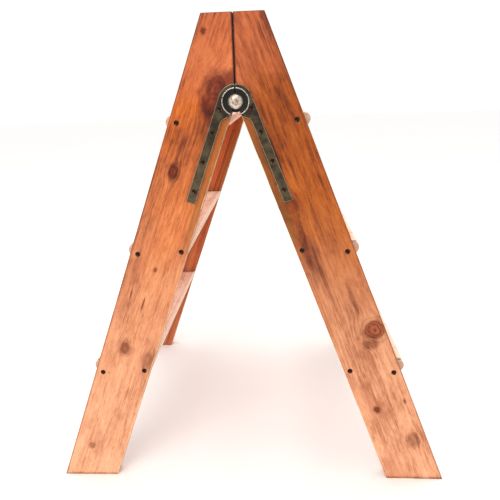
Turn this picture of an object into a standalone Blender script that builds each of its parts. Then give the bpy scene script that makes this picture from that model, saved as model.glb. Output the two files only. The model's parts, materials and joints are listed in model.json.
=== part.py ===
"""Double-sided folding step ladder: two wooden step frames joined at the top by two iron strap hinges.

Metres, +Z up. X runs across the spread of the legs and Y along the treads. The origin is on the floor,
under the middle of the ladder. The ladder stands open, with the mitred tops of its boards against each
other.
"""

import math

import bmesh
import bpy

# Whole ladder
HEIGHT = 0.900
DEPTH = 0.550  # over the outer faces of the side boards
LEG_ANGLE = math.radians(19.95)  # each leg from the vertical, when open
PIN_HEIGHT = 0.7495
GAP = 0.0003  # between pieces that touch
MITRE_GAP = 0.0008  # between the two mitred tops

# Side boards
BOARD_WIDTH = 0.1025
BOARD_THICKNESS = 0.026
BOARD_SETBACK = 0.0004  # from the hinge axis to a board's inner edge
BOARD_ARRIS = 0.0008
SHARP_EDGE = math.radians(50)  # edges sharper than this have an arris

# Treads
TREAD_TOP = 0.7255
TREAD_PITCH = 0.242
TREAD_THICKNESS = 0.021
NOSE_OVERHANG = 0.0137
NOSE_DEPTH = 0.005
NOSE_STEPS = 6
TREAD_NAMES = ("top", "middle", "bottom")

# Hinge leaves
STRAP_LENGTH = 0.199
STRAP_WIDTH = 0.0166
LEAF_RADIUS = 0.0305
LEAF_THICKNESS = 0.0035
LEAF_CORNER = 0.0012
RIB_INSIDE, RIB_OUTSIDE = 0.0223, 0.0247
RIB_HEIGHT = 0.0047
EYE_FLOOR = 0.0020  # thickness left inside the rib
EYE_LOWER_END = 0.029  # along the leg, from the pin to the eye's lower end
FILLET_RADIUS = 0.019
EYE_STEPS = 9
FILLET_STEPS = 5
NOTCH_STEPS = 8
RIB_SIDES = 40
STRAP_SCREWS = (0.0210, 0.0655, 0.1205, 0.1765)  # along the leg, from the pin

# Hinge knuckles, let into the boards behind the leaves
KNUCKLE_THICKNESS = 0.004
LEFT_KNUCKLE_RADIUS = 0.014
RIGHT_KNUCKLE_WALL = 0.0152
RIGHT_KNUCKLE_RADIUS = 0.019
KNUCKLE_CLEARANCE = 0.0005
KNUCKLE_OVERLAP = 0.0005  # of the half wall into the ring and the leaf it joins
WALL_INSET = 0.0002  # of the half wall from the ring's faces
WALL_START, WALL_STOP = -3, 8  # degrees past the seam and past the board's edge
WALL_STEPS = 10
KNUCKLE_SIDES = 32

# Hinge bolt
PIN_RADIUS = 0.006
HEAD_RADIUS = 0.0132
HEAD_HEIGHT = 0.0072
HEAD_UNDERCUT = 0.0004  # from the dome's rim to its seat
DOME_STEPS = 6
WASHER_RADIUS = 0.0125
WASHER_THICKNESS = 0.002
NUT_ACROSS_FLATS = 0.018
NUT_THICKNESS = 0.009
BOLT_TAIL = 0.003
BOLT_CHAMFER = 0.001
BOLT_SIDES = 24

# Countersunk screws: head radius, shank radius, length, depth of the head's cone
STRAP_SCREW = (0.0042, 0.0020, 0.0215, 0.0024)
TREAD_SCREW = (0.0049, 0.0024, 0.0580, 0.0028)
SCREW_TIP = 0.005
SCREW_TIP_TAPER = 0.35
SCREW_SINK = 0.0002  # of the head's face below the surface
SCREW_SIDES = 10
OUTER_SCREW_INSET = 0.0145  # from the board's outer edge
INNER_SCREW_INSET = 0.0115  # from the board's inner edge
INNER_SCREW_LIFT = 0.0030  # above the middle of the tread's edge

# Cutters
HOLE_ABOVE = 0.004  # how far a screw hole's cutter stands out of the surface
CUT_PAST = 0.002  # how far other cutters pass the faces they open
RIM_MARGIN = 0.05  # how far the cutter round the rib reaches past the strap's end
CONE_EASE = 0.2  # share of a hole's extra radius that deepens its cone

SIDES = {"left": -1, "right": 1}
ENDS = {"front": -1, "rear": 1}

MATERIALS = {
    "stained_pine": ((0.46, 0.15, 0.05), 0.0, 0.45),
    "tread_pine": ((0.58, 0.26, 0.13), 0.0, 0.50),
    "black_iron": ((0.035, 0.032, 0.026), 0.85, 0.50),
    "bright_steel": ((0.62, 0.58, 0.52), 1.0, 0.25),
    "dark_screw": ((0.02, 0.015, 0.012), 0.7, 0.45),
}


def clear_scene():
    for obj in list(bpy.data.objects):
        bpy.data.objects.remove(obj, do_unlink=True)


def new_collection(name):
    collection = bpy.data.collections.new(name)
    bpy.context.scene.collection.children.link(collection)
    return collection


def make_material(name):
    colour, metallic, roughness = MATERIALS[name]
    material = bpy.data.materials.new(name)
    material.use_nodes = True
    shader = material.node_tree.nodes["Principled BSDF"]
    shader.inputs["Base Color"].default_value = (*colour, 1.0)
    shader.inputs["Metallic"].default_value = metallic
    shader.inputs["Roughness"].default_value = roughness
    return material


# Plane geometry of a leg. Points are (x, z) measured from the hinge axis.


def leg_point(side, down, out):
    """The point `down` along a leg from the hinge axis and `out` across it, towards the outer edge."""
    x = down * math.sin(LEG_ANGLE) + out * math.cos(LEG_ANGLE)
    z = out * math.sin(LEG_ANGLE) - down * math.cos(LEG_ANGLE)
    return (side * x, z)


def edge_point(side, out, height):
    """Where the line `out` across a leg passes a height above the floor."""
    z = height - PIN_HEIGHT
    return (side * (out / math.cos(LEG_ANGLE) - z * math.tan(LEG_ANGLE)), z)


def arc(centre, radius, start, end, count):
    """`count` + 1 points on a circle, from one angle in degrees to another."""
    angles = [math.radians(start + (end - start) * i / count) for i in range(count + 1)]
    return [(centre[0] + radius * math.cos(a), centre[1] + radius * math.sin(a)) for a in angles]


def mirrored(points, side):
    return [(side * x, z) for x, z in points]


# Makers of solids


def place(obj, collection, material, parent, location):
    collection.objects.link(obj)
    if material:
        obj.data.materials.clear()
        obj.data.materials.append(material)
    obj.parent = parent
    obj.location = location
    return obj


def as_cutter(obj):
    obj.hide_render = True
    obj.display_type = "WIRE"
    return obj


def flat_solid(name, outline, thickness, edge=0.0):
    """A flat outline in the XZ plane, `thickness` along Y about the object's origin, its edges eased."""
    curve = bpy.data.curves.new(name, "CURVE")
    curve.dimensions = "2D"
    curve.fill_mode = "BOTH"
    curve.extrude = thickness / 2
    spline = curve.splines.new("POLY")
    spline.points.add(len(outline) - 1)
    for point, (x, z) in zip(spline.points, outline):
        point.co = (x, z, 0.0, 1.0)
    spline.use_cyclic_u = True
    drawn = bpy.data.objects.new(name, curve)
    bpy.context.scene.collection.objects.link(drawn)
    bpy.context.view_layer.update()
    graph = bpy.context.evaluated_depsgraph_get()
    mesh = bpy.data.meshes.new_from_object(drawn.evaluated_get(graph))
    bpy.data.objects.remove(drawn, do_unlink=True)
    bpy.data.curves.remove(curve)
    shape = bmesh.new()
    shape.from_mesh(mesh)
    bmesh.ops.remove_doubles(shape, verts=shape.verts, dist=1e-6)
    bmesh.ops.recalc_face_normals(shape, faces=shape.faces)
    shape.to_mesh(mesh)
    shape.free()
    mesh.name = name
    obj = bpy.data.objects.new(name, mesh)
    obj.rotation_euler = (math.pi / 2, 0.0, 0.0)
    if edge:
        add_bevel(obj, edge)
    return obj


def add_bevel(obj, width):
    bevel = obj.modifiers.new("rounded_edges", "BEVEL")
    bevel.width = width
    bevel.segments = 1
    bevel.limit_method = "ANGLE"
    bevel.angle_limit = SHARP_EDGE


def profile_mesh(name, profile):
    """An edge profile of (radius, height) points, for the Screw modifier."""
    mesh = bpy.data.meshes.new(name)
    edges = [(i, i + 1) for i in range(len(profile) - 1)]
    mesh.from_pydata([(radius, 0.0, height) for radius, height in profile], edges, [])
    return mesh


def turned_solid(name, mesh, end, sides):
    """A profile turned about an axis along Y. Its heights point away from the ladder at that end."""
    obj = bpy.data.objects.new(name, mesh)
    obj.rotation_euler = (-end * math.pi / 2, 0.0, 0.0)
    screw = obj.modifiers.new("turned", "SCREW")
    screw.steps = sides
    screw.render_steps = sides
    screw.use_merge_vertices = True
    screw.merge_threshold = 0.00001
    screw.use_smooth_shade = True
    return obj


def ring_profile(inside, outside, low, high):
    """A closed ring section, or a plain disc where `inside` is 0."""
    if not inside:
        return [(0.0, high), (outside, high), (outside, low), (0.0, low)]
    return [(inside, high), (outside, high), (outside, low), (inside, low), (inside, high)]


def screw_profile(sizes, grow=0.0, above=0.0):
    """A countersunk screw below its head's face. `grow` and `above` make the hole's cutter from it."""
    head, shank, length, cone = sizes
    slope = (head - shank) / cone
    rim = head + grow
    points = [(0.0, above)]
    if above:
        points.append((rim, above))
    points.append((rim, 0.0))
    points.append((shank + grow, -cone - grow / slope * CONE_EASE))
    points.append((shank + grow, -length + SCREW_TIP))
    points.append(((shank + grow) * SCREW_TIP_TAPER, -length - grow))
    points.append((0.0, -length - grow))
    return points


def boolean(obj, other, operation):
    modifier = obj.modifiers.new(operation.lower() + "_" + other.name, "BOOLEAN")
    modifier.operation = operation
    modifier.solver = "EXACT"
    if isinstance(other, bpy.types.Collection):
        modifier.operand_type = "COLLECTION"
        modifier.collection = other
    else:
        modifier.object = other


class Ladder:
    """Builds the ladder's pieces into their collections."""

    def __init__(self):
        clear_scene()
        self.parts = new_collection("step_ladder")
        self.cutters = new_collection("cutters")
        self.cutters.hide_render = True
        self.materials = {name: make_material(name) for name in MATERIALS}
        self.legs = {name: self.leg_empty(name) for name in SIDES}
        self.screws = {
            "strap": profile_mesh("strap_screw", screw_profile(STRAP_SCREW)),
            "tread": profile_mesh("tread_screw", screw_profile(TREAD_SCREW)),
        }
        self.holes = {
            "strap": profile_mesh("strap_hole", screw_profile(STRAP_SCREW, GAP, HOLE_ABOVE)),
            "tread": profile_mesh("tread_hole", screw_profile(TREAD_SCREW, GAP, HOLE_ABOVE)),
        }

    def leg_empty(self, side_name):
        """A leg's parent, on the hinge axis."""
        empty = bpy.data.objects.new(side_name + "_leg", None)
        empty.empty_display_size = 0.05
        empty.location = (0.0, 0.0, PIN_HEIGHT)
        self.parts.objects.link(empty)
        return empty

    def part(self, obj, material, side_name, location):
        return place(obj, self.parts, self.materials[material], self.legs[side_name], location)

    def cutter(self, obj, side_name, location, group):
        return as_cutter(place(obj, group, None, self.legs[side_name], location))

    def cutter_group(self, name):
        group = bpy.data.collections.new(name)
        group.hide_render = True
        self.cutters.children.link(group)
        return group

    # Wood

    def stile(self, end_name, side_name):
        side, end = SIDES[side_name], ENDS[end_name]
        outer = BOARD_SETBACK + BOARD_WIDTH
        seam = MITRE_GAP / 2
        vertex = (BOARD_SETBACK / math.cos(LEG_ANGLE) - seam) / math.tan(LEG_ANGLE)
        outline = [
            edge_point(side, outer, HEIGHT),
            (side * seam, HEIGHT - PIN_HEIGHT),
            (side * seam, vertex),
            edge_point(side, BOARD_SETBACK, 0.0),
            edge_point(side, outer, 0.0),
        ]
        name = f"stile_{end_name}_{side_name}"
        board = flat_solid(name, outline, BOARD_THICKNESS, BOARD_ARRIS)
        self.part(board, "stained_pine", side_name, (0.0, end * (DEPTH - BOARD_THICKNESS) / 2, 0.0))
        group = self.cutter_group("holes_in_" + name)
        self.knuckle_pocket(end_name, side_name, group)
        for number in range(len(STRAP_SCREWS)):
            self.strap_hole(end_name, side_name, number, group)
        for tread, place_name in self.tread_screw_places():
            self.tread_hole(end_name, side_name, tread, place_name, group)
        boolean(board, group, "DIFFERENCE")

    def knuckle_pocket(self, end_name, side_name, group):
        """The round pocket for the knuckles and the bolt's hole, half in each of two facing boards."""
        end = ENDS[end_name]
        pocket = RIGHT_KNUCKLE_RADIUS + KNUCKLE_CLEARANCE
        floor = -2 * KNUCKLE_THICKNESS - 3 * GAP - KNUCKLE_CLEARANCE
        hole = PIN_RADIUS + KNUCKLE_CLEARANCE
        through = -BOARD_THICKNESS - CUT_PAST
        profile = [
            (0.0, CUT_PAST),
            (pocket, CUT_PAST),
            (pocket, floor),
            (hole, floor),
            (hole, through),
            (0.0, through),
        ]
        name = f"pocket_{end_name}_{side_name}"
        cutter = turned_solid(name, profile_mesh(name, profile), end, KNUCKLE_SIDES)
        self.cutter(cutter, side_name, (0.0, end * DEPTH / 2, 0.0), group)

    def tread(self, side_name, number):
        """A level tread between the side boards, its back flush with them and its nose standing out."""
        side = SIDES[side_name]
        top = TREAD_TOP - number * TREAD_PITCH
        bottom = top - TREAD_THICKNESS
        back = BOARD_SETBACK + GAP
        tip = edge_point(side, BOARD_SETBACK + BOARD_WIDTH, top)[0] + side * NOSE_OVERHANG
        half = TREAD_THICKNESS / 2
        bulge = (half * half + NOSE_DEPTH * NOSE_DEPTH) / (2 * NOSE_DEPTH)
        sweep = math.degrees(math.asin(half / bulge))
        middle = (top + bottom) / 2 - PIN_HEIGHT
        nose = mirrored(arc((abs(tip) - bulge, middle), bulge, sweep, -sweep, NOSE_STEPS), side)
        outline = [edge_point(side, back, top), *nose, edge_point(side, back, bottom)]
        length = DEPTH - 2 * BOARD_THICKNESS - 2 * GAP
        name = f"tread_{side_name}_{TREAD_NAMES[number]}"
        board = flat_solid(name, outline, length)
        self.part(board, "tread_pine", side_name, (0.0, 0.0, 0.0))
        group = self.cutter_group("holes_in_" + name)
        for end_name in ENDS:
            for tread, place_name in self.tread_screw_places():
                if tread == number:
                    self.tread_hole(end_name, side_name, tread, place_name, group)
        boolean(board, group, "DIFFERENCE")

    # Screws through the side boards into the treads

    def tread_screw_places(self):
        """Two screws in each tread's end, but one in the top tread's, where the strap covers a place."""
        for tread in range(len(TREAD_NAMES)):
            yield tread, "outer"
            if tread:
                yield tread, "inner"

    def tread_screw_location(self, end_name, side_name, tread, place_name):
        side, end = SIDES[side_name], ENDS[end_name]
        middle = TREAD_TOP - tread * TREAD_PITCH - TREAD_THICKNESS / 2
        if place_name == "outer":
            x, z = edge_point(side, BOARD_SETBACK + BOARD_WIDTH - OUTER_SCREW_INSET, middle)
        else:
            x, z = edge_point(side, BOARD_SETBACK + INNER_SCREW_INSET, middle + INNER_SCREW_LIFT)
        return (x, end * (DEPTH / 2 - SCREW_SINK), z)

    def tread_hole(self, end_name, side_name, tread, place_name, group):
        name = f"{group.name}_{end_name}_{TREAD_NAMES[tread]}_{place_name}"
        cutter = turned_solid(name, self.holes["tread"], ENDS[end_name], SCREW_SIDES)
        location = self.tread_screw_location(end_name, side_name, tread, place_name)
        self.cutter(cutter, side_name, location, group)

    def tread_screw(self, end_name, side_name, tread, place_name):
        name = f"tread_screw_{end_name}_{side_name}_{TREAD_NAMES[tread]}_{place_name}"
        screw = turned_solid(name, self.screws["tread"], ENDS[end_name], SCREW_SIDES)
        location = self.tread_screw_location(end_name, side_name, tread, place_name)
        self.part(screw, "dark_screw", side_name, location)

    # Screws through the hinge straps

    def strap_screw_location(self, end_name, side_name, number):
        side, end = SIDES[side_name], ENDS[end_name]
        x, z = leg_point(side, STRAP_SCREWS[number], LEAF_RADIUS - STRAP_WIDTH / 2)
        return (x, end * (DEPTH / 2 + LEAF_THICKNESS - SCREW_SINK), z)

    def strap_hole(self, end_name, side_name, number, group):
        name = f"{group.name}_strap_{number + 1}"
        cutter = turned_solid(name, self.holes["strap"], ENDS[end_name], SCREW_SIDES)
        self.cutter(cutter, side_name, self.strap_screw_location(end_name, side_name, number), group)

    def strap_screw(self, end_name, side_name, number):
        name = f"strap_screw_{end_name}_{side_name}_{number + 1}"
        screw = turned_solid(name, self.screws["strap"], ENDS[end_name], SCREW_SIDES)
        location = self.strap_screw_location(end_name, side_name, number)
        self.part(screw, "dark_screw", side_name, location)

    # Hinges

    def leaf_outline(self, side):
        """Half an eye round the pin, running into a strap down the board."""
        seam = MITRE_GAP / 2 + GAP
        edge = BOARD_SETBACK + GAP
        inner = LEAF_RADIUS - STRAP_WIDTH
        angle = math.degrees(LEG_ANGLE)
        hole = PIN_RADIUS + KNUCKLE_CLEARANCE
        top = math.degrees(math.acos(seam / LEAF_RADIUS))
        eye = mirrored(arc((0.0, 0.0), LEAF_RADIUS, top, angle, EYE_STEPS), side)
        strap = [
            leg_point(side, STRAP_LENGTH - LEAF_CORNER, LEAF_RADIUS),
            leg_point(side, STRAP_LENGTH, LEAF_RADIUS - LEAF_CORNER),
            leg_point(side, STRAP_LENGTH, inner + LEAF_CORNER),
            leg_point(side, STRAP_LENGTH - LEAF_CORNER, inner),
        ]
        turn = math.acos(1 - (inner - edge) / FILLET_RADIUS)
        fillet = []
        for step in range(FILLET_STEPS + 1):
            a = turn * step / FILLET_STEPS
            across = inner - FILLET_RADIUS * (1 - math.cos(a))
            along = EYE_LOWER_END + FILLET_RADIUS * (math.sin(turn) - math.sin(a))
            fillet.append(leg_point(side, along, across))
        low = math.degrees(math.asin(edge / hole)) - 90 + angle
        high = math.degrees(math.acos(seam / hole))
        notch = mirrored(arc((0.0, 0.0), hole, low, high, NOTCH_STEPS), side)
        return [*eye, *strap, *fillet, *notch]

    def leaf(self, end_name, side_name):
        side, end = SIDES[side_name], ENDS[end_name]
        name = f"hinge_leaf_{end_name}_{side_name}"
        outline = self.leaf_outline(side)
        face = end * DEPTH / 2
        leaf = flat_solid(name, outline, RIB_HEIGHT - GAP)
        self.part(leaf, "black_iron", side_name, (0.0, face + end * (RIB_HEIGHT + GAP) / 2, 0.0))

        group = self.cutter_group("cuts_in_" + name)
        above = RIB_HEIGHT + CUT_PAST
        around = turned_solid(
            name + "_around_rib",
            profile_mesh(name, ring_profile(RIB_OUTSIDE, STRAP_LENGTH + RIM_MARGIN, LEAF_THICKNESS, above)),
            end,
            RIB_SIDES,
        )
        inside = turned_solid(
            name + "_inside_rib",
            profile_mesh(name, ring_profile(0.0, RIB_INSIDE, EYE_FLOOR, above)),
            end,
            RIB_SIDES,
        )
        for cutter in (around, inside):
            self.cutter(cutter, side_name, (0.0, face, 0.0), group)
        for number in range(len(STRAP_SCREWS)):
            self.strap_hole(end_name, side_name, number, group)
        boolean(leaf, group, "DIFFERENCE")

        for piece in self.knuckle(end_name, side_name):
            boolean(leaf, piece, "UNION")

    def knuckle(self, end_name, side_name):
        """The full ring that holds a leaf on the pin, and the half wall that joins it to the leaf's back."""
        side, end = SIDES[side_name], ENDS[end_name]
        name = f"knuckle_{end_name}_{side_name}"
        face = end * DEPTH / 2
        hole = PIN_RADIUS + KNUCKLE_CLEARANCE
        if side_name == "left":
            wall_inside, radius = hole, LEFT_KNUCKLE_RADIUS
            high = -GAP
        else:
            wall_inside, radius = RIGHT_KNUCKLE_WALL, RIGHT_KNUCKLE_RADIUS
            high = -KNUCKLE_THICKNESS - 2 * GAP
        low = high - KNUCKLE_THICKNESS
        ring = turned_solid(
            name + "_ring",
            profile_mesh(name, ring_profile(hole, radius, low, high)),
            end,
            KNUCKLE_SIDES,
        )
        seam = MITRE_GAP / 2 + GAP
        start = math.degrees(math.acos(seam / wall_inside)) + WALL_START
        stop = math.degrees(LEG_ANGLE) - 90 + WALL_STOP
        outer_arc = arc((0.0, 0.0), radius - WALL_INSET, start, stop, WALL_STEPS)
        inner_arc = arc((0.0, 0.0), wall_inside + WALL_INSET, stop, start, WALL_STEPS)
        wall_low, wall_high = high - KNUCKLE_OVERLAP, EYE_FLOOR - KNUCKLE_OVERLAP
        wall = flat_solid(name + "_wall", mirrored([*outer_arc, *inner_arc], side), wall_high - wall_low)
        location = (0.0, face + end * (wall_low + wall_high) / 2, 0.0)
        self.cutter(wall, side_name, location, self.cutters)
        self.cutter(ring, side_name, (0.0, face, 0.0), self.cutters)
        return wall, ring

    def bolt(self, end_name):
        end = ENDS[end_name]
        seat = EYE_FLOOR + GAP
        dome = (HEAD_RADIUS**2 + HEAD_HEIGHT**2) / (2 * HEAD_HEIGHT)
        reach = math.asin(HEAD_RADIUS / dome)
        crown = seat + HEAD_HEIGHT
        profile = []
        for step in range(DOME_STEPS + 1):
            angle = reach * step / DOME_STEPS
            profile.append((dome * math.sin(angle), crown - dome * (1 - math.cos(angle))))
        tail = -BOARD_THICKNESS - WASHER_THICKNESS - NUT_THICKNESS - 2 * GAP - BOLT_TAIL
        profile += [(HEAD_RADIUS - HEAD_UNDERCUT, seat), (PIN_RADIUS, seat)]
        profile += [(PIN_RADIUS, tail + BOLT_CHAMFER), (PIN_RADIUS - BOLT_CHAMFER, tail), (0.0, tail)]
        name = f"hinge_bolt_{end_name}"
        bolt = turned_solid(name, profile_mesh(name, profile), end, BOLT_SIDES)
        self.part(bolt, "bright_steel", "left", (0.0, end * DEPTH / 2, 0.0))

    def washer(self, end_name):
        end = ENDS[end_name]
        high = -BOARD_THICKNESS - GAP
        profile = ring_profile(PIN_RADIUS + GAP, WASHER_RADIUS, high - WASHER_THICKNESS, high)
        name = f"hinge_washer_{end_name}"
        washer = turned_solid(name, profile_mesh(name, profile), end, BOLT_SIDES)
        self.part(washer, "bright_steel", "left", (0.0, end * DEPTH / 2, 0.0))

    def nut(self, end_name):
        end = ENDS[end_name]
        name = f"hinge_nut_{end_name}"
        high = -BOARD_THICKNESS - WASHER_THICKNESS - 2 * GAP
        corner = NUT_ACROSS_FLATS / math.sqrt(3)
        hexagon = arc((0.0, 0.0), corner, 0, 300, 5)
        nut = flat_solid(name, hexagon, NUT_THICKNESS)
        middle = end * (DEPTH / 2 + high - NUT_THICKNESS / 2)
        self.part(nut, "bright_steel", "left", (0.0, middle, 0.0))
        drill = turned_solid(
            name + "_drill",
            profile_mesh(name, ring_profile(0.0, PIN_RADIUS + GAP, -NUT_THICKNESS, NUT_THICKNESS)),
            end,
            BOLT_SIDES,
        )
        self.cutter(drill, "left", (0.0, middle, 0.0), self.cutters)
        boolean(nut, drill, "DIFFERENCE")

    def build(self):
        for end_name in ENDS:
            for side_name in SIDES:
                self.stile(end_name, side_name)
                self.leaf(end_name, side_name)
                for number in range(len(STRAP_SCREWS)):
                    self.strap_screw(end_name, side_name, number)
                for tread, place_name in self.tread_screw_places():
                    self.tread_screw(end_name, side_name, tread, place_name)
            self.bolt(end_name)
            self.washer(end_name)
            self.nut(end_name)
        for side_name in SIDES:
            for number in range(len(TREAD_NAMES)):
                self.tread(side_name, number)


Ladder().build()
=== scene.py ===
"""The looks of a double-sided folding step ladder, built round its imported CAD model.

Metres, +Z up, in the CAD's frame. Each piece is made about the hinge axis, as it stands on the open ladder,
and is then given an origin of its own. A wood's shader turns its coordinates until Z runs along the grain, up
a board or along a tread. X then runs across the piece, and Y through its thickness.
"""

import json
import math
import random
from collections import namedtuple

import bmesh
import bpy
from mathutils import Matrix, Vector, noise

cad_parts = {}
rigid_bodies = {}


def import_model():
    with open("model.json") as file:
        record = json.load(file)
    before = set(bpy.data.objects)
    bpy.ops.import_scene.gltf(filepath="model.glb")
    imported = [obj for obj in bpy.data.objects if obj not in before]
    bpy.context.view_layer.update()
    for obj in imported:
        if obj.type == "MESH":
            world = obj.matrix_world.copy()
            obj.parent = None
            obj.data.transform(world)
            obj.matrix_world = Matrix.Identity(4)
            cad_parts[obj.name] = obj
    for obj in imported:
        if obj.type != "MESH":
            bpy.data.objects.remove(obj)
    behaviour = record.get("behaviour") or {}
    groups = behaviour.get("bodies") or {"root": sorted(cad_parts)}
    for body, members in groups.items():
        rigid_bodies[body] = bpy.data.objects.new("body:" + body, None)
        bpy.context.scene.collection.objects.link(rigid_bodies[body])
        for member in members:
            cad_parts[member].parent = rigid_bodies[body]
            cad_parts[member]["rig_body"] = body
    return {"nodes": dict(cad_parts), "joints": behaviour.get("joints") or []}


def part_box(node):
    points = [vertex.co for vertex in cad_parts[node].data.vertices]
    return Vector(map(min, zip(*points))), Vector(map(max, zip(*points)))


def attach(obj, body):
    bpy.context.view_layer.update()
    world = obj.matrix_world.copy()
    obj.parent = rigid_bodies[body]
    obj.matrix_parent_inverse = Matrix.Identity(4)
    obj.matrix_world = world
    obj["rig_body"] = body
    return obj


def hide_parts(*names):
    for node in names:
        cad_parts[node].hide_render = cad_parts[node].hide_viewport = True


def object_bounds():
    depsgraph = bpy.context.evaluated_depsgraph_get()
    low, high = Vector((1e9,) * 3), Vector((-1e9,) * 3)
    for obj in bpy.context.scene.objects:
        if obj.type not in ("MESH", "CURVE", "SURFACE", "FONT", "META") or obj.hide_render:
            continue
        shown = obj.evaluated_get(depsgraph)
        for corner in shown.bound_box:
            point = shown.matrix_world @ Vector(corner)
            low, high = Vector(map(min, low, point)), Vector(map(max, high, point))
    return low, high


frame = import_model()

CAD_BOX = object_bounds()

# The frame's own measures
PIN = Vector(frame["joints"][0]["pos_m"])
HEIGHT = CAD_BOX[1].z
HALF_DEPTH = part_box("stile_rear_left")[1].y
BOARD_THICKNESS = HALF_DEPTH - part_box("stile_rear_left")[0].y
TREAD_NAMES = ("top", "middle", "bottom")
TREAD_BOXES = [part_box("tread_right_" + name) for name in TREAD_NAMES]
TREAD_PITCH = TREAD_BOXES[0][1].z - TREAD_BOXES[1][1].z
TREAD_THICKNESS = TREAD_BOXES[0][1].z - TREAD_BOXES[0][0].z
LEG_ANGLE = math.atan2(TREAD_BOXES[1][1].x - TREAD_BOXES[0][1].x, TREAD_PITCH)
LEG_DEGREES = math.degrees(LEG_ANGLE)
BOLT_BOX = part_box("hinge_bolt_rear")

# Dimensions that the CAD model has too
GAP = 0.0003
SEAM = 0.0004  # from the middle plane to a mitred top
SETBACK = 0.0004  # from the hinge axis to a board's inner edge
BOARD_WIDTH = 0.1025
NOSE_DEPTH = 0.005
LEAF_THICKNESS = 0.0035
LEAF_RADIUS = 0.0305
STRAP_WIDTH = 0.0166
STRAP_LENGTH = 0.199
FILLET_RADIUS = 0.019
EYE_FLOOR = 0.002
EYE_LOWER_END = 0.029
RIB_RADIUS = 0.0235
RIB_CREST = 0.0047
PIN_RADIUS = 0.006
PIN_HOLE = 0.0065
KNUCKLE_THICKNESS = 0.004
POCKET_RADIUS = 0.0195
HEAD_RADIUS = 0.0132
HEAD_HEIGHT = 0.0072
STRAP_SCREWS = (0.021, 0.0655, 0.1205, 0.1765)
OUTER_SCREW_INSET = 0.0145
INNER_SCREW_INSET = 0.0115
INNER_SCREW_LIFT = 0.003

SIDES = {"left": -1, "right": 1}
ENDS = {"front": -1, "rear": 1}
END_ORIGIN = {name: PIN + Vector((0.0, end * HALF_DEPTH, 0.0)) for name, end in ENDS.items()}


# Where things are. Points are (x, z), measured from the hinge axis.


def leg_point(side, down, out):
    x = down * math.sin(LEG_ANGLE) + out * math.cos(LEG_ANGLE)
    return (side * x, out * math.sin(LEG_ANGLE) - down * math.cos(LEG_ANGLE))


def edge_x(out, height):
    """How far from the middle plane the line `out` across a leg is, at a height above the floor."""
    return out / math.cos(LEG_ANGLE) - (height - PIN.z) * math.tan(LEG_ANGLE)


def arc(centre, radius, start, stop, count):
    angles = [math.radians(start + (stop - start) * i / count) for i in range(count + 1)]
    return [(centre[0] + radius * math.cos(a), centre[1] + radius * math.sin(a)) for a in angles]


def spread(low, high, count):
    return [low + (high - low) * i / count for i in range(count + 1)]


# Mesh makers


MERGE_DISTANCE = 1e-6
FULL_TURN = 360.0
EDGE_SEGMENTS = 3
EDGE_ANGLE = math.radians(50)  # sharper edges are rounded
WEAR_ANGLE = math.radians(17)  # a worn point has an edge that is sharper,
WEAR_AREA = 0.00015  # and no face that is larger
SMOOTH_ANGLE = math.radians(35)
CUT_PAST = 0.002  # how far a cutter reaches past the face that it opens


def new_object(name, mesh):
    obj = bpy.data.objects.new(name, mesh)
    bpy.context.scene.collection.objects.link(obj)
    return obj


def close_mesh(name, shape):
    bmesh.ops.remove_doubles(shape, verts=shape.verts, dist=MERGE_DISTANCE)
    bmesh.ops.recalc_face_normals(shape, faces=shape.faces)
    mesh = bpy.data.meshes.new(name)
    shape.to_mesh(mesh)
    shape.free()
    return new_object(name, mesh)


def loft(name, rings, closed=False):
    """A solid through rings of equally many points. A closed one's last ring meets its first."""
    shape = bmesh.new()
    rows = [[shape.verts.new(point) for point in ring] for ring in rings]
    pairs = list(zip(rows, rows[1:]))
    if closed:
        pairs.append((rows[-1], rows[0]))
    for low, high in pairs:
        for i in range(len(low)):
            j = (i + 1) % len(low)
            shape.faces.new((low[i], low[j], high[j], high[i]))
    if not closed:
        shape.faces.new(rows[0])
        shape.faces.new(rows[-1])
    return close_mesh(name, shape)


def turned(name, profile, side, end, steps, start=0.0, stop=FULL_TURN):
    """A closed (radius, height) profile turned about the hinge axis, with heights away from the ladder."""
    full = stop - start == FULL_TURN
    rings = []
    for i in range(steps if full else steps + 1):
        angle = math.radians(start + (stop - start) * i / steps)
        rings.append([(side * r * math.cos(angle), end * h, r * math.sin(angle)) for r, h in profile])
    return loft(name, rings, closed=full)


def plate(name, outline, low, high, end):
    """A flat outline between two heights away from the ladder."""
    return loft(name, [[(x, end * h, z) for x, z in outline] for h in (low, high)])


def apply_modifiers(obj):
    graph = bpy.context.evaluated_depsgraph_get()
    graph.update()
    mesh = bpy.data.meshes.new_from_object(obj.evaluated_get(graph))
    obj.modifiers.clear()
    old = obj.data
    obj.data = mesh
    bpy.data.meshes.remove(old)


def round_edges(obj, width):
    bevel = obj.modifiers.new("edges", "BEVEL")
    bevel.width = width
    bevel.segments = EDGE_SEGMENTS
    bevel.limit_method = "ANGLE"
    bevel.angle_limit = EDGE_ANGLE
    apply_modifiers(obj)


def combine(obj, others, operation):
    """Cuts, joins or intersects an object with others, which are used up."""
    for other in others:
        modifier = obj.modifiers.new(operation, "BOOLEAN")
        modifier.operation = operation
        modifier.solver = "EXACT"
        modifier.object = other
    apply_modifiers(obj)
    for other in others:
        bpy.data.objects.remove(other, do_unlink=True)


def mark_wear(obj):
    """Marks the points on rounded convex edges, where the finish rubs off."""
    shape = bmesh.new()
    shape.from_mesh(obj.data)
    layer = shape.verts.layers.float.new("wear")
    for vert in shape.verts:
        small = all(face.calc_area() < WEAR_AREA for face in vert.link_faces)
        convex = [edge.calc_face_angle_signed(0.0) for edge in vert.link_edges]
        if small and max(convex) > WEAR_ANGLE:
            vert[layer] = 1.0
    shape.to_mesh(obj.data)
    shape.free()
    return obj


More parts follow.
